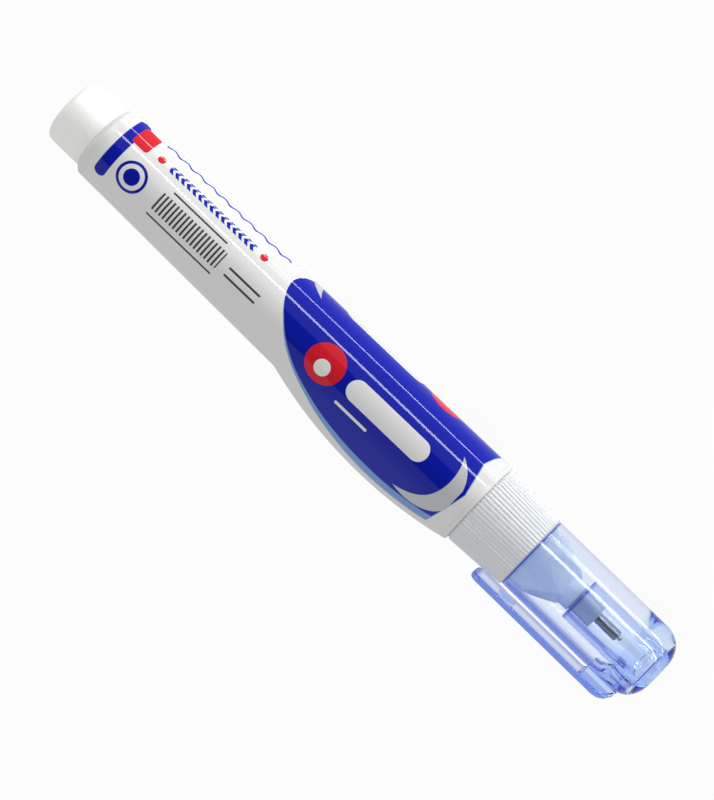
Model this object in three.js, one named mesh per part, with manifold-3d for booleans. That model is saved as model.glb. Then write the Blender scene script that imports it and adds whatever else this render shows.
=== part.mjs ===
// A correction pen: a squeeze barrel with a printed sleeve, a needle tip that a spring keeps
// shut, and a clear cap with a clip. Sizes are in millimetres. The axis of the pen is the X
// axis, with x = 0 at the flat tail end and the nose towards +X. +Z is up as the pen lies on
// its flank, and its round belly points to -Y.

import * as THREE from 'three';
import { mergeVertices } from 'three/addons/utils/BufferGeometryUtils.js';
import Module from 'manifold-3d';

const wasm = await Module();
wasm.setup();

// Clearances
const END_GAP = 0.3; // between faces that meet end to end
const CAP_MOUTH_GAP = 0.2; // between the cap's mouth and the collar
const PRESS_GAP = 0.1; // round a piece that is pressed into another
const SLIDE_GAP = 0.3; // round a piece that slides
const SNAP_GAP = 0.15; // round a snap bead in its groove

// End plug
const PLUG_HEAD_LENGTH = 7.5;
const PLUG_HEAD_RADIUS = 6.35;
const PLUG_EDGE_RADIUS = 1.4;
const PLUG_END_WALL = 1.6;
const PLUG_WALL = 1.3;
const PLUG_SPIGOT_LENGTH = 8;

// Barrel
const BARREL_LENGTH = 89.7;
const BARREL_TAIL_RADIUS = 7.2;
const BARREL_MOUTH_RADIUS = 8.08;
const BARREL_WALL = 1.15;
const SHOULDER_LENGTH = 0.8;
const SHOULDER_DROP = 0.7;
const MOUTH_CHAMFER = 0.4;

// Belly: one side of the barrel swells in an arc
const BELLY_LENGTH = 42.6;
const BELLY_RISE = 4.4;
const BELLY_CENTRE_TO_MOUTH = 20.05;
const HOLLOW_BELLY_LENGTH = 30;
const HOLLOW_BELLY_RISE = 3.6;
const HOLLOW_BELLY_CENTRE_TO_MOUTH = 24;
const BELLY_BLEND = 0.2; // sine of the angle over which the swell fades in round the barrel

// Printed sleeve
const SLEEVE_WALL = 0.25;
const SLEEVE_TAIL_INSET = 1.9;
const SLEEVE_MOUTH_INSET = 0.9;

// Snap beads that hold the end plug and the tip holder in the barrel
const BEAD_HEIGHT = 0.25;
const BEAD_LENGTH = 1.2;

// Tip holder
const SPIGOT_LENGTH = 8.2;
const SPIGOT_WALL = 1.3;
const COLLAR_LENGTH = 11.5;
const COLLAR_TAIL_RADIUS = 8.0;
const COLLAR_FRONT_RADIUS = 7.4;
const COLLAR_CHAMFER = 0.45;
const RIB_COUNT = 66;
const RIB_DEPTH = 0.22;
const RIB_LAND = 0.58; // share of the pitch that is the top of a rib
const SEAT_RADIUS = 5.85;
const SEAT_LENGTH = 3.3;
const CONE_LENGTH = 7.8;
const CONE_HOLLOW = 0.75; // how far the cone's outline sags inwards
const NOZZLE_RADIUS = 2.4;
const NOZZLE_LENGTH = 4.6;
const NOZZLE_CHAMFER = 0.25;
const CONE_FRONT_RADIUS = 2.85;

// Four flats on the cone
const FLAT_COUNT = 4;
const FIRST_FLAT_ANGLE = 29; // degrees from +Z towards +Y
const FLAT_DISTANCE = 4.7; // from the axis, at the cone's foot
const FLAT_SLOPE = 12; // degrees

// Valve inside the tip holder
const CHAMBER_RADIUS = 3.0;
const CHAMBER_REAR_TO_SEAT = 9.2;
const CHAMBER_NARROW_RADIUS = 2.2;
const CHAMBER_TAPER = 2.4;
const CHAMBER_NARROW_LENGTH = 2.4;
const TIP_RADIUS = 1.0;
const TIP_REACH = 4.8; // how far the metal tip stands out of the nozzle
const TIP_BORE_RADIUS = 0.85;
const TIP_MOUTH_RADIUS = 0.5;
const TIP_LIP = 1.2;
const TIP_SEAT_LENGTH = 0.7;
const TIP_ROUND = 0.3;
const TIP_FLANGE_LENGTH = 0.9;
const TIP_FLANGE_WALL = 1.0;
const PIN_STEM_RADIUS = 0.6;
const PIN_POINT_RADIUS = 0.38;
const PIN_REACH = 0.75; // how far the pin stands out of the metal tip
const PIN_SEAT_GAP = 0.25;
const PIN_FLANGE_RADIUS = 1.9;
const PIN_FLANGE_LENGTH = 0.8;
const RETAINER_LENGTH = 4;
const RETAINER_SLOTS = 4;
const RETAINER_SLOT_WIDTH = 1.1;
const RETAINER_CORE_RADIUS = 2.05;
const SPRING_RADIUS = 1.65; // to the middle of the wire
const SPRING_WIRE_RADIUS = 0.18;
const SPRING_LENGTH = 6.1;
const SPRING_TURNS = 7;

// Cap
const CAP_LENGTH = 29.5;
const CAP_RADIUS = 7.1;
const CAP_MOUTH_WALL = 0.4;
const CAP_MOUTH_DEPTH = 0.9;
const CAP_MOUTH_TAPER = 1.0;
const NOSE_FACE_RADIUS = 4.5;
const NOSE_FACE_DOME = 0.75;
const NOSE_LENGTH = 4.2;
const NOSE_FLAT_RADIUS = 1.0;
const CAP_END_WALL = 2.2;
const TUBE_RADIUS = 4.1;
const TUBE_LENGTH = 18.15; // from the nose end to the mouth of the inner tube
const TUBE_NOZZLE_DEPTH = 5;
const TUBE_END_RADIUS = 2.4;
const THROAT_TO_NOSE = 7.6; // where the bore starts to narrow towards the nose
const THROAT_SLOPE = 2;
const NOSE_WALL = 1.95;
const GROOVE_BOTTOM_TO_NOSE = 2.2;

// Clip, one piece with the cap
const CLIP_ANGLE = -56; // degrees from +Z towards +Y
const CLIP_WIDTH = 5.6;
const CLIP_THICKNESS = 1.15;
const CLIP_GAP = 1.5;
const CLIP_OVERHANG = 4.85; // how far the free end reaches past the cap's mouth
const CLIP_SLOT_END_TO_NOSE = 9.3;
const CLIP_ROOT_TO_NOSE = 2.9;
const CLIP_ROOT_ROUND = 3.0;
const CLIP_SINK = 0.6; // how deep the root reaches into the cap's wall
const BOSS_START = 0.5;
const BOSS_LENGTH = 3.1;
const BOSS_HEIGHT = 0.7;

// Mixing ball
const BALL_RADIUS = 2.5;

// Fineness of round shapes
const BODY_SEGMENTS = 40;
const SMALL_SEGMENTS = 20;
const WIRE_SEGMENTS = 6;
const STEPS_PER_TURN = 8;
const BELLY_STEPS = 10;
const CURVE_STEPS = 4;

// Places along the axis
const barrelTail = PLUG_HEAD_LENGTH + END_GAP;
const barrelMouth = barrelTail + BARREL_LENGTH;
const sleeveTail = barrelTail + SLEEVE_TAIL_INSET;
const sleeveMouth = barrelMouth - SLEEVE_MOUTH_INSET;
const plugSpigotEnd = PLUG_HEAD_LENGTH + PLUG_SPIGOT_LENGTH;
const collarTail = barrelMouth + END_GAP;
const spigotStart = collarTail - SPIGOT_LENGTH;
const collarFront = collarTail + COLLAR_LENGTH;
const seatFront = collarFront + SEAT_LENGTH;
const coneFront = seatFront + CONE_LENGTH;
const nozzleFront = coneFront + NOZZLE_LENGTH;
const tipFront = nozzleFront + TIP_REACH;
const pinFront = tipFront + PIN_REACH;
const capMouth = collarFront + CAP_MOUTH_GAP;
const noseEnd = capMouth + CAP_LENGTH;
const chamberRear = collarFront - CHAMBER_REAR_TO_SEAT;
const chamberFront = seatFront + CHAMBER_TAPER + CHAMBER_NARROW_LENGTH;

// Radii that follow from others
const sleeveRecess = SLEEVE_WALL + PRESS_GAP;
const tailBore = BARREL_TAIL_RADIUS - sleeveRecess - BARREL_WALL;
const mouthBore = BARREL_MOUTH_RADIUS - sleeveRecess - BARREL_WALL;
const capBore = SEAT_RADIUS + SLIDE_GAP;
const tubeBore = NOZZLE_RADIUS + SLIDE_GAP;

const point = (x, radius) => new THREE.Vector2(radius, x);

// The outer radius of the barrel at a place along the axis, without the belly
function barrelRadius(x) {
  const share = (x - barrelTail) / BARREL_LENGTH;
  return BARREL_TAIL_RADIUS + (BARREL_MOUTH_RADIUS - BARREL_TAIL_RADIUS) * share;
}

// The height of a circular arc of a given chord and rise, and 0 outside it
function arcHeight(x, centre, length, rise) {
  const half = length / 2;
  const radius = (half * half + rise * rise) / (2 * rise);
  const along = x - centre;
  if (Math.abs(along) >= half) {
    return 0;
  }
  return Math.sqrt(radius * radius - along * along) - (radius - rise);
}

function bellyAt(x) {
  return arcHeight(x, barrelMouth - BELLY_CENTRE_TO_MOUTH, BELLY_LENGTH, BELLY_RISE);
}

function hollowBellyAt(x) {
  const centre = barrelMouth - HOLLOW_BELLY_CENTRE_TO_MOUTH;
  return arcHeight(x, centre, HOLLOW_BELLY_LENGTH, HOLLOW_BELLY_RISE);
}

// Turns an outline of (radius, x) points round the X axis
function turned(outline, segments = BODY_SEGMENTS) {
  return new THREE.LatheGeometry(outline, segments).rotateZ(-Math.PI / 2);
}

// Moves the half of a turned shape that faces -Y outwards, so that its section becomes the
// round outline of two circles side by side
function swell(geometry, riseAt) {
  const position = geometry.attributes.position;
  for (let i = 0; i < position.count; i += 1) {
    const y = position.getY(i);
    const radius = Math.hypot(y, position.getZ(i));
    if (radius > 0) {
      const facing = THREE.MathUtils.smoothstep(-y / radius, -BELLY_BLEND, BELLY_BLEND);
      position.setY(i, y - riseAt(position.getX(i)) * facing);
    }
  }
  return geometry;
}

// A closed geometry as a solid that can be cut and joined
function solid(geometry) {
  const bare = geometry.clone();
  bare.deleteAttribute('normal');
  bare.deleteAttribute('uv');
  const merged = mergeVertices(bare, 1e-4);
  const vertProperties = new Float32Array(merged.attributes.position.array);
  const triVerts = new Uint32Array(merged.index.array);
  return new wasm.Manifold(new wasm.Mesh({ numProp: 3, vertProperties, triVerts }));
}

// A solid as a geometry again
function geometryOf(body) {
  const mesh = body.getMesh();
  const geometry = new THREE.BufferGeometry();
  geometry.setAttribute('position', new THREE.BufferAttribute(mesh.vertProperties, 3));
  geometry.setIndex(new THREE.BufferAttribute(mesh.triVerts, 1));
  geometry.computeVertexNormals();
  return geometry;
}

// Places along the belly at which the barrel and the sleeve have a ring of points
function bellyStations(from, to) {
  const start = barrelMouth - BELLY_CENTRE_TO_MOUTH - BELLY_LENGTH / 2;
  const stations = [];
  for (let i = 0; i <= BELLY_STEPS; i += 1) {
    const x = start + (BELLY_LENGTH * i) / BELLY_STEPS;
    if (x > from && x < to) {
      stations.push(x);
    }
  }
  return stations;
}

// The barrel's tapering, bellied outer form between two places, drawn in by an inset
function barrelForm(from, to, inset) {
  const places = [from, ...bellyStations(from, to), to];
  const wall = places.map((x) => point(x, barrelRadius(x) - inset));
  return swell(turned([point(from, 0), ...wall, point(to, 0)]), bellyAt);
}

// A snap bead's four corners on a wall, as points of an outline that runs towards +X
function beadOutline(centre, radius, height, length) {
  const half = length / 2;
  return [
    point(centre - half - height, radius),
    point(centre - half, radius + height),
    point(centre + half, radius + height),
    point(centre + half + height, radius),
  ];
}

const plugBeadPlace = (barrelTail + plugSpigotEnd) / 2;
const holderBeadPlace = (spigotStart + barrelMouth) / 2;

function barrelHollow() {
  const stations = bellyStations(plugSpigotEnd + END_GAP, spigotStart - END_GAP);
  const wall = [plugSpigotEnd + END_GAP, ...stations, spigotStart - END_GAP].map((x) =>
    point(x, barrelRadius(x) - sleeveRecess - BARREL_WALL),
  );
  const grooveHeight = BEAD_HEIGHT + SNAP_GAP;
  const grooveLength = BEAD_LENGTH + 2 * SNAP_GAP;
  const outline = [
    point(barrelTail - 1, 0),
    point(barrelTail - 1, tailBore),
    ...beadOutline(plugBeadPlace, tailBore, grooveHeight, grooveLength),
    ...wall,
    ...beadOutline(holderBeadPlace, mouthBore, grooveHeight, grooveLength),
    point(barrelMouth + 1, mouthBore),
    point(barrelMouth + 1, 0),
  ];
  return swell(turned(outline), hollowBellyAt);
}

function barrel() {
  const recessStart = sleeveTail - PRESS_GAP;
  const recessEnd = sleeveMouth + PRESS_GAP;
  const stations = bellyStations(recessStart, recessEnd);
  const shoulderEnd = barrelTail + SHOULDER_LENGTH;
  const chamferStart = barrelMouth - MOUTH_CHAMFER;
  const outline = [
    point(barrelTail, 0),
    point(barrelTail, barrelRadius(barrelTail) - SHOULDER_DROP),
    point(shoulderEnd, barrelRadius(shoulderEnd)),
    point(recessStart, barrelRadius(recessStart)),
    ...[recessStart, ...stations, recessEnd].map((x) => point(x, barrelRadius(x) - sleeveRecess)),
    point(recessEnd, barrelRadius(recessEnd)),
    point(chamferStart, barrelRadius(chamferStart)),
    point(barrelMouth, barrelRadius(barrelMouth) - MOUTH_CHAMFER),
    point(barrelMouth, 0),
  ];
  const form = solid(swell(turned(outline), bellyAt));
  return geometryOf(form.subtract(solid(barrelHollow())));
}

function labelSleeve() {
  const outside = solid(barrelForm(sleeveTail, sleeveMouth, 0));
  const inside = solid(barrelForm(sleeveTail - 1, sleeveMouth + 1, SLEEVE_WALL));
  return geometryOf(outside.subtract(inside));
}

function endPlug() {
  const spigotRadius = tailBore - PRESS_GAP;
  const edge = new THREE.EllipseCurve(
    PLUG_HEAD_RADIUS - PLUG_EDGE_RADIUS,
    PLUG_EDGE_RADIUS,
    PLUG_EDGE_RADIUS,
    PLUG_EDGE_RADIUS,
    -Math.PI / 2,
    0,
  );
  const outline = [
    point(PLUG_END_WALL, 0),
    point(PLUG_END_WALL, spigotRadius - PLUG_WALL),
    point(plugSpigotEnd, spigotRadius - PLUG_WALL),
    point(plugSpigotEnd, spigotRadius),
    ...beadOutline(plugBeadPlace, spigotRadius, BEAD_HEIGHT, BEAD_LENGTH).reverse(),
    point(PLUG_HEAD_LENGTH, spigotRadius),
    point(PLUG_HEAD_LENGTH, PLUG_HEAD_RADIUS),
    ...edge.getPoints(CURVE_STEPS).reverse(),
    point(0, 0),
  ];
  return turned(outline.reverse());
}

function agitatorBall() {
  const x = plugSpigotEnd + END_GAP + BALL_RADIUS;
  const wallRadius = barrelRadius(x) - sleeveRecess - BARREL_WALL;
  const ball = new THREE.Mesh(new THREE.SphereGeometry(BALL_RADIUS, 18, 12));
  ball.position.set(x, 0, -(wallRadius - SLIDE_GAP - BALL_RADIUS));
  return ball;
}

// The tip holder's core: spigot, collar, seat, cone and nozzle, bored for the valve
function holderCore() {
  const spigotRadius = mouthBore - PRESS_GAP;
  const spigotBore = spigotRadius - SPIGOT_WALL;
  const middle = (seatFront + coneFront) / 2;
  const cone = new THREE.QuadraticBezierCurve(
    point(seatFront, SEAT_RADIUS),
    point(middle - CONE_HOLLOW, (SEAT_RADIUS + CONE_FRONT_RADIUS) / 2 - CONE_HOLLOW),
    point(coneFront, CONE_FRONT_RADIUS),
  );
  const outline = [
    point(spigotStart, spigotBore),
    point(spigotStart, spigotRadius),
    ...beadOutline(holderBeadPlace, spigotRadius, BEAD_HEIGHT, BEAD_LENGTH),
    point(collarTail, spigotRadius),
    point(collarTail, COLLAR_TAIL_RADIUS - COLLAR_CHAMFER - RIB_DEPTH),
    point(collarFront, COLLAR_FRONT_RADIUS - COLLAR_CHAMFER - RIB_DEPTH),
    point(collarFront, SEAT_RADIUS),
    ...cone.getPoints(CURVE_STEPS),
    point(coneFront, NOZZLE_RADIUS),
    point(nozzleFront - NOZZLE_CHAMFER, NOZZLE_RADIUS),
    point(nozzleFront, NOZZLE_RADIUS - NOZZLE_CHAMFER),
    point(nozzleFront, TIP_RADIUS + PRESS_GAP),
    point(chamberFront, TIP_RADIUS + PRESS_GAP),
    point(chamberFront, CHAMBER_NARROW_RADIUS),
    point(seatFront + CHAMBER_TAPER, CHAMBER_NARROW_RADIUS),
    point(seatFront, CHAMBER_RADIUS),
    point(chamberRear, CHAMBER_RADIUS),
    point(chamberRear, spigotBore),
    point(spigotStart, spigotBore),
  ];
  return solid(turned(outline));
}

// The rim of a ribbed ring: each rib has a flat top, and a V between it and the next
function ribbedRim() {
  const rim = new THREE.Shape();
  const pitch = (2 * Math.PI) / RIB_COUNT;
  const corners = [
    [-RIB_LAND / 2, COLLAR_TAIL_RADIUS],
    [RIB_LAND / 2, COLLAR_TAIL_RADIUS],
    [0.5, COLLAR_TAIL_RADIUS - RIB_DEPTH],
  ];
  const points = [];
  for (let i = 0; i < RIB_COUNT; i += 1) {
    for (const [share, radius] of corners) {
      const angle = (i + share) * pitch;
      points.push(new THREE.Vector2(radius * Math.cos(angle), radius * Math.sin(angle)));
    }
  }
  rim.setFromPoints(points);
  return rim;
}

// The collar's ribs as one ring that tapers to the front, with both its edges chamfered
function collarRibs() {
  const boreRadius = mouthBore - PRESS_GAP;
  const rim = ribbedRim();
  rim.holes.push(new THREE.Path().absarc(0, 0, boreRadius, 0, 2 * Math.PI, true));
  const settings = { depth: 3, steps: 3, bevelEnabled: false, curveSegments: BODY_SEGMENTS / 2 };
  const ring = new THREE.ExtrudeGeometry(rim, settings).rotateY(Math.PI / 2);
  const places = [0, COLLAR_CHAMFER, COLLAR_LENGTH - COLLAR_CHAMFER, COLLAR_LENGTH];
  const chamfers = [COLLAR_CHAMFER, 0, 0, COLLAR_CHAMFER];
  const position = ring.attributes.position;
  for (let i = 0; i < position.count; i += 1) {
    const step = Math.round(position.getX(i));
    const radius = Math.hypot(position.getY(i), position.getZ(i));
    const taper = ((COLLAR_FRONT_RADIUS - COLLAR_TAIL_RADIUS) * places[step]) / COLLAR_LENGTH;
    const moved = radius < boreRadius + PRESS_GAP ? radius : radius + taper - chamfers[step];
    const scale = moved / radius;
    position.setXYZ(i, places[step], position.getY(i) * scale, position.getZ(i) * scale);
  }
  return solid(ring.translate(collarTail, 0, 0));
}

// A block above one flat of the cone, turned to its place round the axis
function flatCutter(index) {
  const block = new THREE.BoxGeometry(CONE_LENGTH, 4 * SEAT_RADIUS, SEAT_RADIUS);
  block.translate(CONE_LENGTH / 2, 0, SEAT_RADIUS / 2);
  block.rotateY(THREE.MathUtils.degToRad(FLAT_SLOPE));
  block.translate(seatFront, 0, FLAT_DISTANCE);
  const angle = FIRST_FLAT_ANGLE + (index * 360) / FLAT_COUNT;
  block.rotateX(-THREE.MathUtils.degToRad(angle));
  return solid(block);
}

function tipHolder() {
  let body = holderCore().add(collarRibs());
  for (let i = 0; i < FLAT_COUNT; i += 1) {
    body = body.subtract(flatCutter(i));
  }
  return geometryOf(body);
}

function metalTip() {
  const flangeRadius = CHAMBER_NARROW_RADIUS - PRESS_GAP;
  const rear = chamberFront - PRESS_GAP - TIP_FLANGE_LENGTH;
  const seatEnd = tipFront - TIP_LIP;
  const outline = [
    point(rear, flangeRadius - TIP_FLANGE_WALL),
    point(rear, flangeRadius),
    point(rear + TIP_FLANGE_LENGTH, flangeRadius),
    point(rear + TIP_FLANGE_LENGTH, TIP_RADIUS),
    point(tipFront - TIP_ROUND, TIP_RADIUS),
    point(tipFront, TIP_RADIUS - TIP_ROUND),
    point(tipFront, TIP_MOUTH_RADIUS),
    point(seatEnd, TIP_MOUTH_RADIUS),
    point(seatEnd - TIP_SEAT_LENGTH, TIP_BORE_RADIUS),
    point(rear + TIP_FLANGE_LENGTH, TIP_BORE_RADIUS),
    point(rear, flangeRadius - TIP_FLANGE_WALL),
  ];
  return turned(outline, SMALL_SEGMENTS);
}

const retainerRear = chamberRear + END_GAP;
const springRear = retainerRear + RETAINER_LENGTH + END_GAP;
const pinFlangeRear = springRear + SPRING_LENGTH + END_GAP;

function valvePin() {
  const shoulder = tipFront - TIP_LIP - PIN_SEAT_GAP;
  const outline = [
    point(retainerRear + PIN_FLANGE_LENGTH, 0),
    point(retainerRear + PIN_FLANGE_LENGTH, PIN_STEM_RADIUS),
    point(pinFlangeRear, PIN_STEM_RADIUS),
    point(pinFlangeRear, PIN_FLANGE_RADIUS),
    point(pinFlangeRear + PIN_FLANGE_LENGTH, PIN_FLANGE_RADIUS),
    point(pinFlangeRear + PIN_FLANGE_LENGTH, PIN_STEM_RADIUS),
    point(shoulder - TIP_SEAT_LENGTH, PIN_STEM_RADIUS),
    point(shoulder, PIN_POINT_RADIUS),
    point(pinFront - PIN_POINT_RADIUS / 2, PIN_POINT_RADIUS),
    point(pinFront, PIN_POINT_RADIUS / 2),
    point(pinFront, 0),
  ];
  return turned(outline, SMALL_SEGMENTS);
}

// A slotted plug that the fluid passes, with a guide hole for the pin
function springRetainer() {
  const radius = CHAMBER_RADIUS - PRESS_GAP;
  const disc = new THREE.Shape().absarc(0, 0, radius, 0, 2 * Math.PI, false);
  const guide = new THREE.Path().absarc(0, 0, PIN_STEM_RADIUS + SLIDE_GAP, 0, 2 * Math.PI, true);
  disc.holes.push(guide);
  const depth = RETAINER_LENGTH;
  const settings = { depth, bevelEnabled: false, curveSegments: SMALL_SEGMENTS / 2 };
  const plug = new THREE.ExtrudeGeometry(disc, settings);
  plug.rotateY(Math.PI / 2);
  plug.translate(retainerRear, 0, 0);
  let body = solid(plug);
  for (let i = 0; i < RETAINER_SLOTS; i += 1) {
    const slot = new THREE.BoxGeometry(depth * 2, RETAINER_SLOT_WIDTH, radius);
    slot.translate(retainerRear + depth / 2, 0, RETAINER_CORE_RADIUS + radius / 2);
    slot.rotateX((i * 2 * Math.PI) / RETAINER_SLOTS);
    body = body.subtract(solid(slot));
  }
  return geometryOf(body);
}

class SpringLine extends THREE.Curve {
  getPoint(share, target = new THREE.Vector3()) {
    const angle = share * SPRING_TURNS * 2 * Math.PI;
    const run = SPRING_LENGTH - 2 * SPRING_WIRE_RADIUS;
    return target.set(
      springRear + SPRING_WIRE_RADIUS + run * share,
      SPRING_RADIUS * Math.cos(angle),
      SPRING_RADIUS * Math.sin(angle),
    );
  }
}

function valveSpring() {
  const wire = new THREE.Shape().absarc(0, 0, SPRING_WIRE_RADIUS, 0, 2 * Math.PI, false);
  return new THREE.ExtrudeGeometry(wire, {
    steps: SPRING_TURNS * STEPS_PER_TURN,
    curveSegments: WIRE_SEGMENTS / 2,
    extrudePath: new SpringLine(),
  });
}

// The cap's nose: a rounded corner and a shallow dome with a small flat at its middle
function noseOutline() {
  const edge = noseEnd - NOSE_FACE_DOME;
  const shoulder = noseEnd - NOSE_LENGTH;
  const corner = new THREE.QuadraticBezierCurve(
    point(shoulder, CAP_RADIUS),
    point((shoulder + 3 * edge) / 4, (2 * CAP_RADIUS + NOSE_FACE_RADIUS) / 3),
    point(edge, NOSE_FACE_RADIUS),
  );
  const dome = new THREE.QuadraticBezierCurve(
    point(edge, NOSE_FACE_RADIUS),
    point(noseEnd, (NOSE_FACE_RADIUS + NOSE_FLAT_RADIUS) / 2),
    point(noseEnd, NOSE_FLAT_RADIUS),
  );
  return [...corner.getPoints(CURVE_STEPS), ...dome.getPoints(CURVE_STEPS - 2).slice(1)];
}

function capShell() {
  const tubeMouth = noseEnd - TUBE_LENGTH;
  const throat = noseEnd - THROAT_TO_NOSE;
  const throatRadius = CAP_RADIUS - NOSE_WALL;
  const grooveBottom = noseEnd - GROOVE_BOTTOM_TO_NOSE;
  const outline = [
    point(noseEnd - CAP_END_WALL, 0),
    point(noseEnd - CAP_END_WALL, TUBE_END_RADIUS),
    point(tubeMouth + TUBE_NOZZLE_DEPTH, tubeBore),
    point(tubeMouth, tubeBore),
    point(tubeMouth, TUBE_RADIUS),
    point(grooveBottom, TUBE_RADIUS),
    point(grooveBottom, throatRadius),
    point(throat + THROAT_SLOPE, throatRadius),
    point(throat, capBore),
    point(capMouth + CAP_MOUTH_DEPTH + CAP_MOUTH_TAPER, capBore),
    point(capMouth + CAP_MOUTH_DEPTH, CAP_RADIUS - CAP_MOUTH_WALL),
    point(capMouth, CAP_RADIUS - CAP_MOUTH_WALL),
    point(capMouth, CAP_RADIUS),
    ...noseOutline(),
    point(noseEnd, 0),
  ];
  return solid(turned(outline));
}

// The clip's outline from the side: x along the pen, y away from the axis
function clipOutline() {
  const inner = CAP_RADIUS + CLIP_GAP;
  const outer = inner + CLIP_THICKNESS;
  const round = CLIP_THICKNESS / 2;
  const free = capMouth - CLIP_OVERHANG;
  const slotEnd = noseEnd - CLIP_SLOT_END_TO_NOSE;
  const rootEnd = noseEnd - CLIP_ROOT_TO_NOSE;
  const sunk = CAP_RADIUS - CLIP_SINK;
  const boss = capMouth + BOSS_START;
  const side = new THREE.Shape();
  side.moveTo(free + round, outer);
  side.absarc(free + round, outer - round, round, Math.PI / 2, (3 * Math.PI) / 2, false);
  side.lineTo(boss, inner);
  side.quadraticCurveTo(boss + BOSS_LENGTH / 2, inner - 2 * BOSS_HEIGHT, boss + BOSS_LENGTH, inner);
  side.lineTo(slotEnd - CLIP_GAP / 2, inner);
  side.absarc(slotEnd - CLIP_GAP / 2, inner - CLIP_GAP / 2, CLIP_GAP / 2, Math.PI / 2, 0, true);
  side.lineTo(slotEnd, sunk);
  side.lineTo(rootEnd, sunk);
  side.lineTo(rootEnd, outer - CLIP_ROOT_ROUND);
  side.absarc(rootEnd - CLIP_ROOT_ROUND, outer - CLIP_ROOT_ROUND, CLIP_ROOT_ROUND, 0, Math.PI / 2, false);
  return side;
}

function clip() {
  const bar = new THREE.ExtrudeGeometry(clipOutline(), {
    depth: CLIP_WIDTH,
    bevelEnabled: false,
    curveSegments: CURVE_STEPS,
  });
  bar.translate(0, 0, -CLIP_WIDTH / 2);
  bar.rotateX(Math.PI / 2);
  bar.rotateX(-THREE.MathUtils.degToRad(CLIP_ANGLE));
  return solid(bar);
}

function cap() {
  return geometryOf(capShell().add(clip()));
}

function finish(color, roughness, metalness = 0, opacity = 1) {
  const transparent = opacity < 1;
  return new THREE.MeshStandardMaterial({ color, roughness, metalness, opacity, transparent });
}

function piece(name, geometry, material) {
  const mesh = new THREE.Mesh(geometry, material);
  mesh.name = name;
  return mesh;
}

const white = finish(0xf2f3f3, 0.35);
const matteWhite = finish(0xe9eaec, 0.5);
const printed = finish(0x2a35b8, 0.3);
const steel = finish(0xb9bcc0, 0.25, 1);
const brightSteel = finish(0xd5d7da, 0.15, 1);
const milky = finish(0xe4e6e6, 0.4);
const clearBlue = finish(0x6f86e8, 0.1, 0, 0.5);

const ball = agitatorBall();
ball.name = 'agitator_ball';
ball.material = brightSteel;

const valve = new THREE.Group();
valve.add(piece('metal_tip', metalTip(), steel));
valve.add(piece('valve_pin', valvePin(), steel));
valve.add(piece('valve_spring', valveSpring(), steel));
valve.add(piece('spring_retainer', springRetainer(), milky));

const pen = new THREE.Group();
pen.add(piece('barrel', barrel(), white));
pen.add(piece('label_sleeve', labelSleeve(), printed));
pen.add(piece('end_plug', endPlug(), milky));
pen.add(piece('tip_holder', tipHolder(), matteWhite));
pen.add(valve);
pen.add(piece('cap', cap(), clearBlue));
pen.add(ball);

export default pen;
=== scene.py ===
# %% [markdown]
# A correction pen in Blender. The pen is a squeeze barrel with a printed sleeve, a tail plug,
# a ribbed tip holder with a steel needle tip, and a clear blue cap with a clip. The packed
# CAD model comes in first as a fixed frame, and each piece that shows is then modelled again
# round it with finer edges. The X axis is the axis of the pen, with x = 0 at its flat tail
# end, and the pen lies on its flank with +Z up.

# %% Load the frame
import math

import bmesh
import bpy
from mathutils import Matrix, Vector


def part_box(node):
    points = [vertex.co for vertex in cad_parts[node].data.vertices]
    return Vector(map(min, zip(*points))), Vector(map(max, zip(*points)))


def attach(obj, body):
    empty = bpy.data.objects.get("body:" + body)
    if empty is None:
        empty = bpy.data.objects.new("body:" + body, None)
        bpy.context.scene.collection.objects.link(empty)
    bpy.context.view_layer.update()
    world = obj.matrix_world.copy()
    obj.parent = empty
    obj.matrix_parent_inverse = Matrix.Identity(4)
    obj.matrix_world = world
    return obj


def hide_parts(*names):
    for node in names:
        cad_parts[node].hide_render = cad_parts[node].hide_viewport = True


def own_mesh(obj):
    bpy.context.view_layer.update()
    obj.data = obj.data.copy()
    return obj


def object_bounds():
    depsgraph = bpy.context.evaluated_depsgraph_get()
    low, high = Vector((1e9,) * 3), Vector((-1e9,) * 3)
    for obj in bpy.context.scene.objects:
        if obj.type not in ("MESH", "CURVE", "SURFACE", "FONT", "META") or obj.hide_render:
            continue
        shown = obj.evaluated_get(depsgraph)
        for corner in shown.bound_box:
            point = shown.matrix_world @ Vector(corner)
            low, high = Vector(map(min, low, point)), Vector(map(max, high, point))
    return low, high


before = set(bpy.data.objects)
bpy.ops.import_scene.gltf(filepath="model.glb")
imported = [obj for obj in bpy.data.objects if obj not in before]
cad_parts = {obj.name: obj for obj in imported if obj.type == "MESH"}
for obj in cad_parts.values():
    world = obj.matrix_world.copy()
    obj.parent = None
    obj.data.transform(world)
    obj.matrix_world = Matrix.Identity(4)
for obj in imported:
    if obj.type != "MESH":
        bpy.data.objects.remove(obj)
cad_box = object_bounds()
MM = 0.001

# %% [markdown]
# The camera stands where the photographer stood. The pen lies aslant in the picture, so the
# camera is rolled. Its place was worked out from the pen's own sizes: the tail end looks
# a little smaller than the nose, which gives the distance, and the lens follows from that.
# A camera could also be aimed by a constraint, but three plain directions are easier to
# check: along the pen, up across the pen, and from the pen to the camera.

# %% Camera
CAMERA_DISTANCE = 500 * MM
CAMERA_FOOT = 114.2 * MM
CAMERA_DROP = 1.97 * MM
CAMERA_TURN = math.radians(5.01)
CAMERA_ROLL = math.radians(44.14)
VIEW_HEIGHT = math.radians(40)
FOCAL_PIXELS = 2955
PICTURE_HEIGHT = 800
SENSOR = 24

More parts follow.
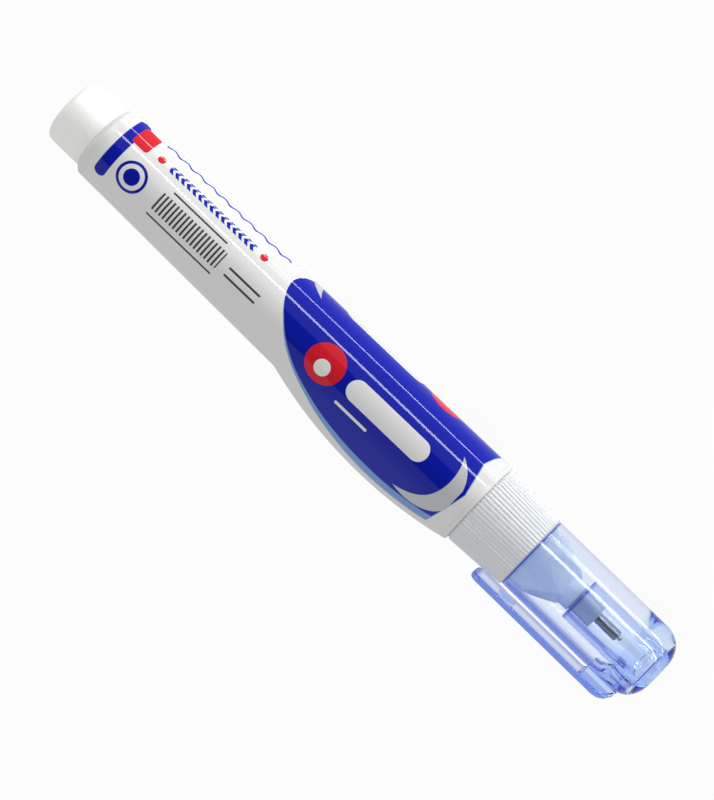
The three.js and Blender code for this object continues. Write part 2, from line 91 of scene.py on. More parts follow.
along = Vector((1, 0, 0))
to_camera = Vector((0, math.cos(VIEW_HEIGHT), math.sin(VIEW_HEIGHT)))
across = Vector((0, math.sin(VIEW_HEIGHT), -math.cos(VIEW_HEIGHT)))
backwards = to_camera * math.cos(CAMERA_TURN) + along * math.sin(CAMERA_TURN)
level_right = along * math.cos(CAMERA_TURN) - to_camera * math.sin(CAMERA_TURN)
right = level_right * math.cos(CAMERA_ROLL) + across * math.sin(CAMERA_ROLL)
up = across * math.cos(CAMERA_ROLL) - level_right * math.sin(CAMERA_ROLL)
place = along * CAMERA_FOOT + to_camera * CAMERA_DISTANCE - across * CAMERA_DROP

bpy.ops.object.select_all(action="DESELECT")
bpy.ops.object.camera_add(location=place)
camera = bpy.context.object
camera.name = "camera"
camera.data.sensor_fit = "VERTICAL"
camera.data.sensor_height = SENSOR
camera.data.lens = FOCAL_PIXELS / PICTURE_HEIGHT * SENSOR
camera.data.clip_start = 10 * MM
turn = Matrix((right, up, backwards)).transposed()
camera.matrix_world = Matrix.Translation(place) @ turn.to_4x4()
bpy.context.scene.camera = camera
bpy.context.scene.view_settings.view_transform = "Standard"
print("lens", round(camera.data.lens, 2), "mm")

# %% [markdown]
# Materials are node trees, and sums in them are easier to read as Python than as boxes and
# wires. An Amount wraps a number socket, so that a sum on it adds its Math nodes. The same
# tree could be drawn by hand in the shader editor.

# %% Amounts
class Amount:
    """A number that varies over a surface."""

    def __init__(self, finish, socket):
        self.finish = finish
        self.socket = socket

    def math(self, operation, *others, clamp=False):
        values = dict(enumerate((self, *others)))
        settings = {"operation": operation, "use_clamp": clamp}
        return Amount(self.finish, self.finish.node("Math", settings, values).outputs[0])

    def __add__(self, other):
        return self.math("ADD", other)

    def __mul__(self, other):
        return self.math("MULTIPLY", other)

    def __sub__(self, other):
        return self.math("SUBTRACT", other)

    def __truediv__(self, other):
        return self.math("DIVIDE", other)

    def __neg__(self):
        return self * -1

    def __rsub__(self, other):
        return -self + other

    def __abs__(self):
        return self.math("ABSOLUTE")

    def below_zero(self, softness, share=1):
        """The share where this amount is below zero, and 0 above it, with a soft step."""
        return (0.5 - self / softness).math("MULTIPLY", share, clamp=True)

    __radd__ = __add__
    __rmul__ = __mul__


print("sums on amounts add Math nodes")

# %% [markdown]
# A Finish wraps one material. Its method node adds any node: first its settings, such as the
# points of a curve, and then the values or links of its sockets. The other methods give
# what nearly every finish here uses: places on the object in millimetres, cloudy noise, a
# mix of two colours and a low relief.

# %% Finishes
class Finish:
    """One material and the nodes in it."""

    def __init__(self, name, **settings):
        self.material = bpy.data.materials.new(name)
        self.material.use_nodes = True
        self.tree = self.material.node_tree
        self.shader = self.tree.nodes["Principled BSDF"]
        self.output = self.tree.nodes["Material Output"]
        for socket, value in settings.items():
            self.set(socket.replace("_", " "), value)

    def set(self, socket, value):
        self.join(self.shader.inputs[socket], value)

    def join(self, socket, value):
        if isinstance(value, Amount):
            value = value.socket
        if isinstance(value, bpy.types.NodeSocket):
            self.tree.links.new(value, socket)
        else:
            socket.default_value = value

    def node(self, kind, settings=None, values=None):
        node = self.tree.nodes.new("ShaderNode" + kind)
        for name, value in (settings or {}).items():
            if name == "points":
                draw_curve(node.mapping, value)
            else:
                setattr(node, name, value)
        for socket, value in (values or {}).items():
            self.join(node.inputs[socket], value)
        return node

    def places(self):
        """The object's own coordinates in millimetres, as one vector socket."""
        coordinates = self.node("TexCoord").outputs["Object"]
        scale = {"operation": "SCALE"}
        return self.node("VectorMath", scale, {0: coordinates, "Scale": 1000}).outputs[0]

    def split(self, vector):
        """The three numbers of a vector."""
        parts = self.node("SeparateXYZ", None, {0: vector}).outputs
        return [Amount(self, part) for part in parts]

    def noise(self, scale, detail=2, stretch=(1, 1, 1)):
        """Cloudy noise from 0 to 1, with its scale per millimetre."""
        turned = self.node("Mapping", None, {"Vector": self.places(), "Scale": stretch})
        values = {"Vector": turned.outputs[0], "Scale": scale, "Detail": detail}
        return Amount(self, self.node("TexNoise", None, values).outputs[0])

    def mix(self, share, first, second):
        """A colour between two others."""
        values = {0: share, 6: first, 7: second}
        return self.node("Mix", {"data_type": "RGBA"}, values).outputs[2]

    def bump(self, height, distance, strength=1.0):
        """Turns a height of 0 to 1 into a relief of some hundredths of a millimetre."""
        values = {"Height": height, "Distance": distance * MM, "Strength": strength}
        self.set("Normal", self.node("Bump", None, values).outputs[0])


def draw_curve(mapping, wanted):
    """Gives a curve node's one curve its points."""
    points = mapping.curves[0].points
    while len(points) < len(wanted):
        points.new(wanted[len(points)][0], 0)
    for point, (x, y) in zip(points, wanted):
        point.location = (x, y)
    mapping.update()


def colour(red, green, blue):
    """A colour given as it is read off a screen, from 0 to 255, made linear for the shader."""
    parts = [part / 255 for part in (red, green, blue)]
    linear = [p / 12.92 if p <= 0.04045 else ((p + 0.055) / 1.055) ** 2.4 for p in parts]
    return (*linear, 1)


PURE_WHITE = (1, 1, 1, 1)
print("a mid grey is", round(colour(128, 128, 128)[0], 3), "to the shader")

# %% [markdown]
# The pen lies on a plain white floor. To a camera the floor shows mostly its own white, so
# the background stays white without more light on the pen, and part of it stays a real
# surface that keeps the pen's soft shadow. The floor throws no shadow, so soft light comes
# from below as well. Mirror rays and rays through clear plastic pass the floor by. They see
# the world, which the next step makes as white as the floor where clear plastic is looked
# through.

# %% Floor
FLOOR_SIZE = 3
FLOOR_DROP = 0.03 * MM
FLOOR_GREY = 232
FLOOR_WHITE_SHARE = 0.95


def stage_floor():
    bpy.ops.object.select_all(action="DESELECT")
    low = cad_box[0].z - FLOOR_DROP
    bpy.ops.mesh.primitive_plane_add(size=FLOOR_SIZE, location=(cad_box[1].x / 2, 0, low))
    floor = bpy.context.object
    floor.name = "floor"
    paper = Finish("floor_paper", Roughness=0.9, Specular_IOR_Level=0.0)
    paper.set("Base Color", colour(FLOOR_GREY, FLOOR_GREY, FLOOR_GREY))
    rays = paper.node("LightPath").outputs
    seen = Amount(paper, rays["Is Camera Ray"])
    white = paper.node("Emission", None, {"Color": PURE_WHITE, "Strength": 1})
    values = {0: seen * FLOOR_WHITE_SHARE, 1: paper.shader.outputs[0], 2: white.outputs[0]}
    mixed = paper.node("MixShader", None, values)
    paper.join(paper.output.inputs["Surface"], mixed.outputs[0])
    floor.data.materials.append(paper.material)
    floor.visible_glossy = False
    floor.visible_transmission = False
    floor.visible_shadow = False
    return floor


floor = stage_floor()
print("floor at", round(floor.location.z * 1000, 2), "mm")

# %% [markdown]
# Soft light comes from all sides. The world that gives it tells rays apart: it is white to
# the camera and nearly white to a ray that has passed clear plastic. Hardly any lamp light
# gets through clear plastic in a path tracer, so a ray that leaves a white part inside the
# cap finds a bluish light of its own.

# %% World
WORLD_LEVEL = 0.57
CLEAR_LEVEL = 0.96
INSIDE_LEVEL = 1.0
INSIDE_TINT = (0.68, 0.86, 1.25, 1)


class Sky(Finish):
    """The world's nodes, which are added in the same way as a material's."""

    def __init__(self, name):
        world = bpy.data.worlds.new(name)
        world.use_nodes = True
        bpy.context.scene.world = world
        self.tree = world.node_tree
        self.shader = self.tree.nodes["Background"]


def world_light():
    sky = Sky("studio")
    rays = sky.node("LightPath").outputs
    inside = Amount(sky, rays["Diffuse Depth"]).math("GREATER_THAN", 0.5)
    through = Amount(sky, rays["Is Transmission Ray"])
    seen = Amount(sky, rays["Is Camera Ray"])
    clear = inside * (INSIDE_LEVEL - CLEAR_LEVEL) + CLEAR_LEVEL
    level = through * (clear - WORLD_LEVEL) + WORLD_LEVEL
    sky.set("Strength", seen * (1 - level) + level)
    sky.set("Color", sky.mix(inside * through, PURE_WHITE, INSIDE_TINT))


world_light()
print("light at", WORLD_LEVEL, "all round")

# %% [markdown]
# One large soft lamp stands low on the straight side of the pen, so that the side of the pen
# that is upper in the picture is the lighter one. It is placed by a direction square to
# the pen, as the panels of the next step are. The cap has walls inside walls, so light may
# bounce more often than Blender allows by itself.

# %% Lamp
LAMP_WATTS = 3.1
LAMP_DIRECTION = 78
LAMP_FOOT = 70 * MM
LAMP_DISTANCE = 450 * MM
LAMP_LENGTH = 700 * MM
LAMP_WIDTH = 300 * MM


def section(degrees):
    """A direction square to the pen: 0 is to the camera, 90 is up in the picture."""
    turned = math.radians(degrees)
    return to_camera * math.cos(turned) + across * math.sin(turned)


def turn_to(direction):
    """A turn that lets a plane or lamp face against a direction, with its length along X."""
    side = along.cross(-direction).normalized()
    return Matrix((along, side, along.cross(side))).transposed().to_4x4()


def side_lamp():
    bpy.ops.object.light_add(type="AREA")
    lamp = bpy.context.object
    lamp.name = "side_lamp"
    lamp.data.shape = "RECTANGLE"
    lamp.data.size = LAMP_LENGTH
    lamp.data.size_y = LAMP_WIDTH
    lamp.data.energy = LAMP_WATTS
    direction = section(LAMP_DIRECTION)
    spot = along * LAMP_FOOT + direction * LAMP_DISTANCE
    lamp.matrix_world = Matrix.Translation(spot) @ turn_to(direction)
    lamp.visible_glossy = False
    lamp.visible_transmission = False


side_lamp()
bpy.context.scene.cycles.max_bounces = 32
bpy.context.scene.cycles.glossy_bounces = 16
bpy.context.scene.cycles.transmission_bounces = 24
print("lamp of", LAMP_WATTS, "watts")

# %% [markdown]
# Four long panels stand along the pen, and none of them lights its outside. Two bright strips
# show as thin lines along the glossy film, as studio tubes do, so each stands where the film
# mirrors the camera to it. A dark card gives the film and the steel tip a darker side. It
# keeps out of a plain look through the cap, which crosses two to five skins of plastic. The
# last panel lights only what lies inside the cap. A picture of a studio could do all this
# instead, but panels are easier to place one by one.

# %% Panels
STRIP_LEVEL = 15
CARD_LEVEL = 0.1
INSIDE_GLOW = 3.0
PANEL_LENGTH = 1600 * MM
PANELS = {
    "upper_strip": (77.5, 24 * MM, 500 * MM, STRIP_LEVEL),
    "lower_strip": (39.5, 44 * MM, 500 * MM, STRIP_LEVEL),
    "dark_card": (-18, 560 * MM, 560 * MM, CARD_LEVEL),
    "inside_light": (100, 700 * MM, 560 * MM, INSIDE_GLOW),
}


def panel_glow(name, level):
    """Light that shows only to the rays that the panel is meant for."""
    glow = Finish(name)
    rays = glow.node("LightPath").outputs
    kind = "GREATER_THAN" if name == "inside_light" else "LESS_THAN"
    shows = Amount(glow, rays["Diffuse Depth"]).math(kind, 0.5)
    if name == "dark_card":
        crossed = Amount(glow, rays["Transmission Depth"]) - 3
        shows = shows * abs(crossed).math("GREATER_THAN", 2.5)
    clear = glow.node("BsdfTransparent").outputs[0]
    tube = glow.node("Emission", None, {"Strength": level}).outputs[0]
    mixed = glow.node("MixShader", None, {0: shows, 1: clear, 2: tube})
    glow.join(glow.output.inputs["Surface"], mixed.outputs[0])
    glow.material.cycles.emission_sampling = "FRONT_BACK" if "strip" in name else "NONE"
    return glow


def long_panel(name, degrees, width, distance, level):
    bpy.ops.object.select_all(action="DESELECT")
    bpy.ops.mesh.primitive_plane_add(size=1)
    panel = bpy.context.object
    panel.name = name
    direction = section(degrees)
    panel.matrix_world = (
        Matrix.Translation(along * CAMERA_FOOT + direction * distance)
        @ turn_to(direction)
        @ Matrix.Diagonal((PANEL_LENGTH, width, 1, 1))
    )
    panel.data.materials.append(panel_glow(name, level).material)
    panel.visible_camera = False
    panel.visible_glossy = name != "inside_light"
    panel.visible_diffuse = False
    panel.visible_shadow = False
    panel.visible_volume_scatter = False


for name, sizes in PANELS.items():
    long_panel(name, *sizes)
print(len(PANELS), "panels")

# %% [markdown]
# Nearly every piece of a pen is round, so it is made as on a lathe: a profile is drawn point
# by point above the axis, its corners are rounded, and it is spun round the axis. Rings
# could be extruded one by one instead, but a profile is quicker to read, because each
# point is a place along the pen and a radius, in millimetres. A third number is the
# rounding of that corner.

# %% Profiles
ROUND_STEPS = 4


def pick(piece):
    """Selects one piece and nothing else."""
    bpy.ops.object.select_all(action="DESELECT")
    piece.select_set(True)
    bpy.context.view_layer.objects.active = piece


def start_piece(name, x, radius):
    """A piece with one point above the axis, in edit mode."""
    bpy.ops.object.select_all(action="DESELECT")
    bpy.ops.mesh.primitive_plane_add(size=MM, location=(0, 0, 0))
    piece = bpy.context.object
    piece.name = name
    bpy.ops.object.mode_set(mode="EDIT")
    bpy.ops.mesh.select_all(action="SELECT")
    bpy.ops.mesh.merge(type="CENTER")
    bpy.ops.transform.translate(value=(x * MM, 0, radius * MM))
    return piece


def round_corner(piece, x, radius, rounding):
    bpy.ops.mesh.select_all(action="DESELECT")
    drawn = bmesh.from_edit_mesh(piece.data)
    spot = Vector((x * MM, 0, radius * MM))
    min(drawn.verts, key=lambda vertex: (vertex.co - spot).length).select = True
    drawn.select_flush_mode()
    bpy.ops.mesh.bevel(
        offset_type="OFFSET", offset=rounding * MM, segments=ROUND_STEPS, affect="VERTICES"
    )


def draw_profile(name, corners, closed=False):
    """Draws corners of (x, radius, rounding) as a line above the axis, and rounds them."""
    x, radius = corners[0][:2]
    piece = start_piece(name, x, radius)
    for corner in corners[1:]:
        step = ((corner[0] - x) * MM, 0, (corner[1] - radius) * MM)
        bpy.ops.mesh.extrude_region_move(TRANSFORM_OT_translate={"value": step})
        x, radius = corner[:2]
    if closed:
        bpy.ops.mesh.select_all(action="SELECT")
        ends = [v for v in bmesh.from_edit_mesh(piece.data).verts if len(v.link_edges) == 1]
        bpy.ops.mesh.select_all(action="DESELECT")
        for vertex in ends:
            vertex.select = True
        bpy.ops.mesh.edge_face_add()
    for corner in corners:
        if len(corner) > 2:
            round_corner(piece, *corner)
    return piece


print("a rounded corner has", ROUND_STEPS, "steps")

# %% [markdown]
# The spin carries a profile round the axis in many small steps. After it, the points that
# meet at the seam or on the axis are merged, and all faces are turned outwards, because a
# spin can leave a shape inside out.

# %% Lathe
def tidy_mesh():
    """Merges doubles and turns all faces outwards, in edit mode."""
    bpy.ops.mesh.select_all(action="SELECT")
    bpy.ops.mesh.remove_doubles(threshold=0.001 * MM)
    bpy.ops.mesh.normals_make_consistent(inside=False)


def lathe(name, corners, steps, closed=False):
    """A turned piece, in object mode."""
    piece = draw_profile(name, corners, closed)
    bpy.ops.mesh.select_all(action="SELECT")
    bpy.ops.mesh.spin(steps=steps, angle=2 * math.pi, center=(0, 0, 0), axis=(1, 0, 0))
    tidy_mesh()
    bpy.ops.object.mode_set(mode="OBJECT")
    print(name, len(piece.data.polygons), "faces")
    return piece


print("lathe ready")

# %% [markdown]
# Three more helpers serve every piece. One rounds chosen edges, one applies a modifier at
# once, and one finishes a piece: smooth faces with crisp edges, its material, the body it
# rides on, and the part of the model that it stands for.

# %% Edges, modifiers and finishing
def bevel_edges(piece, chosen, width, segments):
    """Rounds the edges for which a test holds, in edit mode."""
    bpy.ops.mesh.select_mode(type="EDGE")
    bpy.ops.mesh.select_all(action="DESELECT")
    drawn = bmesh.from_edit_mesh(piece.data)
    for line in [line for line in drawn.edges if chosen(line)]:
        line.select = True
    bmesh.update_edit_mesh(piece.data)
    print(piece.name, "rounds", piece.data.total_edge_sel, "edges")
    bpy.ops.mesh.bevel(offset=width * MM, segments=segments, affect="EDGES")
    bpy.ops.mesh.select_mode(type="VERT")


def apply_modifier(piece, kind, **settings):
    pick(piece)
    modifier = piece.modifiers.new(kind.lower(), kind)
    for name, value in settings.items():
        setattr(modifier, name, value)
    bpy.ops.object.modifier_apply(modifier=modifier.name)


def finish_piece(piece, body, node, finish, angle=30):
    """Smooths the faces, gives the piece its finish, and ties it to the frame."""
    pick(piece)
    bpy.ops.object.shade_smooth_by_angle(angle=math.radians(angle))
    apply_modifier(piece, "WEIGHTED_NORMAL", keep_sharp=True)
    piece.data.materials.clear()
    piece.data.materials.append(finish.material)
    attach(piece, body)
    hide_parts(node)


print("helpers ready")

# %% [markdown]
# The barrel is blow-moulded from soft white plastic. It tapers a little towards the tail, and
# one side of it swells in an arc, the belly that the fingers squeeze. Its section there is
# two circles side by side, joined by flat front and back panels.

# %% Sizes of the barrel
BARREL_TAIL = 7.8
BARREL_MOUTH = 97.5
TAIL_RADIUS = 7.2
MOUTH_RADIUS = 8.079
BARREL_WALL = 1.15
SLEEVE_TAIL = BARREL_TAIL + 1.9
SLEEVE_MOUTH = BARREL_MOUTH - 0.9
SLEEVE_WALL = 0.25
SLEEVE_RECESS = 0.35
BELLY_CENTRE = BARREL_MOUTH - 20.05
BELLY_LENGTH = 42.6
BELLY_RISE = 4.397
HOLLOW_CENTRE = BARREL_MOUTH - 24
HOLLOW_LENGTH = 30
HOLLOW_RISE = 3.6


def barrel_radius(x):
    share = (x - BARREL_TAIL) / (BARREL_MOUTH - BARREL_TAIL)
    return TAIL_RADIUS + (MOUTH_RADIUS - TAIL_RADIUS) * share


def arc_height(x, centre, length, rise):
    half = length / 2
    radius = (half * half + rise * rise) / (2 * rise)
    off = abs(x - centre)
    return 0 if off >= half else math.sqrt(radius * radius - off * off) - radius + rise


def outer_rise(x):
    return arc_height(x, BELLY_CENTRE, BELLY_LENGTH, BELLY_RISE)


def hollow_rise(x):
    return arc_height(x, HOLLOW_CENTRE, HOLLOW_LENGTH, HOLLOW_RISE)


print("barrel from", BARREL_TAIL, "to", BARREL_MOUTH)

# %% [markdown]
# The belly is on one side only, so a lathe can't turn it. The barrel and its sleeve are first
# turned as plain tubes, with rings close together where the belly is. A Displace modifier
# then moves that side out, and a vertex group says how far each point goes. A lattice could
# do it too, but the group follows the measured arc exactly.

# %% Belly
BELLY_BLEND = 0.2
RING_SPACING = 0.9


def facing(y, z):
    """0 on the straight side, 1 on the belly side, with a short soft step between."""
    radius = math.hypot(y, z)
    share = (-y / radius + BELLY_BLEND) / (2 * BELLY_BLEND) if radius else 0
    share = min(max(share, 0), 1)
    return share * share * (3 - 2 * share)


def rings(start, end, inset):
    """Points of a long wall, close together where the belly is."""
    places = [start]
    for i in range(math.ceil(BELLY_LENGTH / RING_SPACING)):
        x = BELLY_CENTRE - BELLY_LENGTH / 2 + i * RING_SPACING
        if start + 0.2 < x < end - 0.2:
            places.append(x)
    return [(x, barrel_radius(x) - inset) for x in [*places, end]]


def swell(piece, middle):
    """Moves the belly side out: by the outer arc outside the middle inset, else the inner."""
    group = piece.vertex_groups.new(name="belly")
    for vertex in piece.data.vertices:
        x, y, z = vertex.co / MM
        outside = math.hypot(y, z) > barrel_radius(x) - middle
        rise = outer_rise(x) if outside else hollow_rise(x)
        if rise * facing(y, z) > 0:
            group.add([vertex.index], rise * facing(y, z) / BELLY_RISE, "REPLACE")
    apply_modifier(
        piece,
        "DISPLACE",
        direction="Y",
        mid_level=0,
        strength=-BELLY_RISE * MM,
        vertex_group="belly",
    )


print("belly rises", BELLY_RISE, "mm over", BELLY_LENGTH, "mm")

# %% [markdown]
# Soft white plastic isn't quite even: its gloss is a little cloudy and its skin has a faint
# orange-peel. Both come from noise, one into the roughness and one into a very low bump.
# The same helper makes the milky tail plug and the tip holder, each with its own tint. The
# plug lets light into it, so it also scatters light under its skin, and a faint emission
# paints on the glow of the light that comes through it.

# %% White plastics
CLOUDY_GLOSS = 0.12


def white_plastic(name, light, dark, roughness, peel):
    finish = Finish(name)
    finish.set("Base Color", finish.mix(finish.noise(0.35, 3), dark, light))
    finish.set("Roughness", finish.noise(1.6, 3) * CLOUDY_GLOSS + roughness)
    finish.bump(finish.noise(2.2, 4), peel)
    return finish


barrel_white = (colour(239, 240, 238), colour(234, 235, 232))
milky_white = (colour(245, 245, 243), colour(239, 239, 235))
holder_white = (colour(240, 243, 246), colour(234, 238, 241))
barrel_plastic = white_plastic("white_plastic", *barrel_white, 0.3, 0.006)
milky_plastic = white_plastic("milky_plastic", *milky_white, 0.26, 0.006)
holder_plastic = white_plastic("holder_plastic", *holder_white, 0.22, 0.004)
milky_plastic.set("Subsurface Weight", 0.3)
milky_plastic.set("Subsurface Radius", (2.5 * MM, 2.5 * MM, 2.2 * MM))
milky_plastic.set("Subsurface Scale", 1.0)
# A faint emission is painted light: the glow of light let through the milky plastic.
milky_plastic.set("Emission Color", (1, 1, 0.98, 1))
milky_plastic.set("Emission Strength", 0.11)
print("three white plastics")

# %% [markdown]
# The barrel itself shows only at the tail shoulder and at the mouth. Between them it is drawn
# in by the thickness of the printed sleeve. It is a real hollow bottle here too, with snap
# grooves at both ends, so that the piece is right on its own.

# %% Barrel
TAIL_BORE = TAIL_RADIUS - SLEEVE_RECESS - BARREL_WALL
MOUTH_BORE = MOUTH_RADIUS - SLEEVE_RECESS - BARREL_WALL
PLUG_SPIGOT_END = 15.5
HOLDER_SPIGOT_START = 89.6
PLUG_BEAD = (BARREL_TAIL + PLUG_SPIGOT_END) / 2
HOLDER_BEAD = (HOLDER_SPIGOT_START + BARREL_MOUTH) / 2
GROOVE_SIZE = (0.4, 0.75)
BEAD_SIZE = (0.25, 0.6)


def snap_bead(centre, radius, height, half):
    """A bead or groove with sloped sides, by its height and half its length."""
    return [
        (centre - half - height, radius),
        (centre - half, radius + height),
        (centre + half, radius + height),
        (centre + half + height, radius),
    ]


def make_barrel():
    recess_start = SLEEVE_TAIL - 0.01
    recess_end = SLEEVE_MOUTH + 0.01
    outside = [
        (BARREL_TAIL, TAIL_RADIUS - 0.7, 0.15),
        (BARREL_TAIL + 0.8, barrel_radius(BARREL_TAIL + 0.8), 0.2),
        (recess_start, barrel_radius(recess_start)),
        *rings(recess_start, recess_end, SLEEVE_RECESS),
        (recess_end, barrel_radius(recess_end)),
        (BARREL_MOUTH, barrel_radius(BARREL_MOUTH), 0.35),
        (BARREL_MOUTH, MOUTH_BORE),
    ]
    inside = [
        *snap_bead(PLUG_BEAD, TAIL_BORE, *GROOVE_SIZE),
        *rings(PLUG_SPIGOT_END + 0.3, HOLDER_SPIGOT_START - 0.3, SLEEVE_RECESS + BARREL_WALL),
        *snap_bead(HOLDER_BEAD, MOUTH_BORE, *GROOVE_SIZE),
    ]
    corners = [*outside, *reversed(inside), (BARREL_TAIL, TAIL_BORE)]
    piece = lathe("barrel_bottle", corners, closed=True, steps=128)
    swell(piece, SLEEVE_RECESS + BARREL_WALL / 2)
    finish_piece(piece, "barrel", "barrel", barrel_plastic)


make_barrel()

# %% [markdown]
# The printed sleeve is a thin film that is shrunk round the barrel. The print has to follow
# the film, so the piece gets a UV map before it is swelled: u is the place along the pen, and
# v is how far round the pen a point is from the straight spine, both in centimetres. On
# the belly the film is longer, and v grows with it. The two halves of the map meet along
# the belly, where nothing is printed.

# %% Sleeve
def wrap_film(piece):
    """Gives each face corner its place along the pen and its way round from the spine."""
    wrap = piece.data.uv_layers.new(name="wrap")
    for face in piece.data.polygons:
        side = math.copysign(1, face.center.z)
        for loop in face.loop_indices:
            x, y, z = piece.data.vertices[piece.data.loops[loop].vertex_index].co / MM
            angle = math.atan2(z * side, y)
            if angle < 0 and y <= 0:
                angle += 2 * math.pi
            way = angle * barrel_radius(x) + outer_rise(x) * facing(y, z)
            wrap.data[loop].uv = (x / 10, side * way / 10)


def make_sleeve():
    outside = rings(SLEEVE_TAIL, SLEEVE_MOUTH, 0)
    inside = rings(SLEEVE_TAIL, SLEEVE_MOUTH, SLEEVE_WALL)
    corners = [*outside, *reversed(inside)]
    piece = lathe("printed_sleeve", corners, closed=True, steps=128)
    wrap_film(piece)
    swell(piece, SLEEVE_WALL + BARREL_WALL / 2)
    return piece


sleeve = make_sleeve()
print("sleeve from", SLEEVE_TAIL, "to", SLEEVE_MOUTH)

# %% [markdown]
# The print is a plain design in deep blue, light blue, red and grey on white: a blue field
# that wraps round the spine, a band at the tail, and a few dots, bars and rules. It carries
# no words and no signs. Each shape is a distance in millimetres, below zero inside the
# shape, and a soft step turns it into a mask. A picture could be wrapped on instead, but
# shapes from nodes stay sharp at any size.

# %% Print shapes
PRINT_EDGE = 0.09


class Print(Finish):
    """A film with shapes printed on it, placed by u along the pen and v round it, in mm."""

    def __init__(self, name, paper):
        super().__init__(name)
        wrap = self.node("UVMap", {"uv_map": "wrap"}).outputs[0]
        along_film, round_film, _ = self.split(wrap)
        self.u = along_film * 10
        self.v = round_film * 10
        self.layer = paper

    def ink(self, distance, tint):
        """Prints a tint where a distance is below zero."""
        self.layer = self.mix(distance.below_zero(PRINT_EDGE), self.layer, tint)

    def disc(self, u, v, radius):
        off_u = self.u - u
        off_v = self.v - v
        return (off_u * off_u + off_v * off_v).math("SQRT") - radius

    def bar(self, u, v, length, height, rounding=0):
        """A bar with round corners about its middle."""
        out_u = (abs(self.u - u) - (length / 2 - rounding)).math("MAXIMUM", 0)
        out_v = (abs(self.v - v) - (height / 2 - rounding)).math("MAXIMUM", 0)
        return (out_u * out_u + out_v * out_v).math("SQRT") - rounding

    def both(self, first, second):
        """Where two shapes overlap."""
        return first.math("MAXIMUM", second)

    def either(self, first, second):
        return first.math("MINIMUM", second)

    def curve(self, amount, low, high, points):
        """A smooth curve through points whose first numbers run from low to high."""
        top = max(abs(level) for _, level in points)
        spots = [((x - low) / (high - low), level / top) for x, level in points]
        share = (amount - low) / (high - low)
        node = self.node("FloatCurve", {"points": spots}, {"Value": share})
        return Amount(self, node.outputs[0]) * top


film = Print("printed_film", colour(239, 240, 238))
print("film takes print")

# %% [markdown]
# The blue field widens from a blunt tail end to its full width over the belly, and ends in a
# slant near the mouth. A light blue line of growing width borders it. The field is the
# same on both panels, so its edge is a curve of the distance from the spine. The edge leans,
# so a point is nearer to it than the way straight round says.

# %% Blue field
DEEP_BLUE = colour(4, 24, 170)
LIGHT_BLUE = colour(126, 166, 226)
RED = colour(222, 30, 48)
DARK_GREY = colour(70, 72, 76)
PALE_GREY = colour(202, 204, 208)
WHITE = colour(240, 241, 240)
FIELD_START = 49.0
FIELD_END = 96.0
FIELD_LEAN = 0.8
BORDER_WIDTH = 1.5
FIELD_EDGE = [
    (49.0, 0.0),
    (50.0, 2.9),
    (53.0, 6.4),
    (57.0, 9.7),
    (63.0, 13.3),
    (70.0, 15.8),
    (78.0, 16.8),
    (87.0, 16.2),
    (96.0, 13.2),
]


def print_field():
    edge = film.curve(film.u, FIELD_START, FIELD_END, FIELD_EDGE)
    across_field = (abs(film.v) - edge) * FIELD_LEAN
    ends = FIELD_START - film.u
    slant = film.u - 95.2 + abs(abs(film.v) - 6.5) * 0.22
    border = ((film.u - FIELD_START) * 0.05).math("MINIMUM", BORDER_WIDTH)
    outer = film.both(film.both(across_field - border, ends), slant)
    inner = film.both(film.both(across_field, ends + 0.1), slant + 0.15)
    film.ink(outer, LIGHT_BLUE)
    film.ink(inner, DEEP_BLUE)


print_field()
print("blue field printed")

# %% [markdown]
# The small shapes: a red disc with a white spot, a white stroke with a thin rule below it, a
# grey crescent at the end of the field, a tail band, a ring, a hatch and fine rules. Those
# on the field are printed twice, once on the front panel and once on the back panel.

# %% Small shapes
ARROW_PITCH = 1.35
HATCH_PITCH = 0.82


def print_accents(u, v):
    """The shapes on the blue field of one panel, in that panel's own directions."""
    film.u = u
    film.v = v
    crescent = film.both(film.disc(87.3, 8.4, 7.4), -film.disc(82.6, 6.4, 9.2))
    film.ink(film.both(crescent, film.u - 94.4), PALE_GREY)
    film.ink(film.disc(63.0, 6.8, 3.7), RED)
    film.ink(film.disc(63.0, 7.6, 1.5), WHITE)
    film.ink(film.bar(77.2, 6.4, 18.0, 4.1, 2.0), WHITE)
    film.ink(film.bar(72.0, 10.5, 7.4, 0.6, 0.3), WHITE)


def print_tail():
    film.ink(film.bar(12.15, 3.4, 2.3, 14.6, 1.1), DEEP_BLUE)
    film.ink(film.bar(14.4, -0.5, 3.5, 4.9, 0.6), RED)
    for radius, tint in ((2.85, DEEP_BLUE), (2.3, WHITE), (1.5, DEEP_BLUE)):
        film.ink(film.disc(17.2, 6.6, radius), tint)
    wave = (film.u * 2.1).math("SINE") * 0.4
    film.ink(film.both(abs(film.v + 3.5 + wave) - 0.3, abs(film.u - 31.8) - 14.6), DEEP_BLUE)
    arrow = ((film.u - abs(film.v - 0.6) * 0.9) * (1 / ARROW_PITCH)).math("FRACT")
    arrows = (abs(arrow - 0.5) - 0.3) * ARROW_PITCH
    film.ink(film.both(arrows, film.bar(30.8, 0.6, 20.0, 1.5, 0.25)), DEEP_BLUE)
    film.ink(film.either(film.disc(18.7, 0.6, 0.75), film.disc(42.9, 0.6, 0.75)), RED)
    line = (film.u * (1 / HATCH_PITCH)).math("FRACT")
    hatch = (abs(line - 0.5) - 0.24) * HATCH_PITCH
    film.ink(film.both(hatch, film.bar(30.6, 6.4, 15.2, 3.6, 0.4)), DARK_GREY)
    for v, length in ((3.5, 12.6), (9.4, 15.2)):
        film.ink(film.bar(30.6, v, length, 0.35, 0.15), DARK_GREY)
    for v in (6.2, 7.7):
        film.ink(film.bar(43.6, v, 7.2, 0.4, 0.15), DARK_GREY)


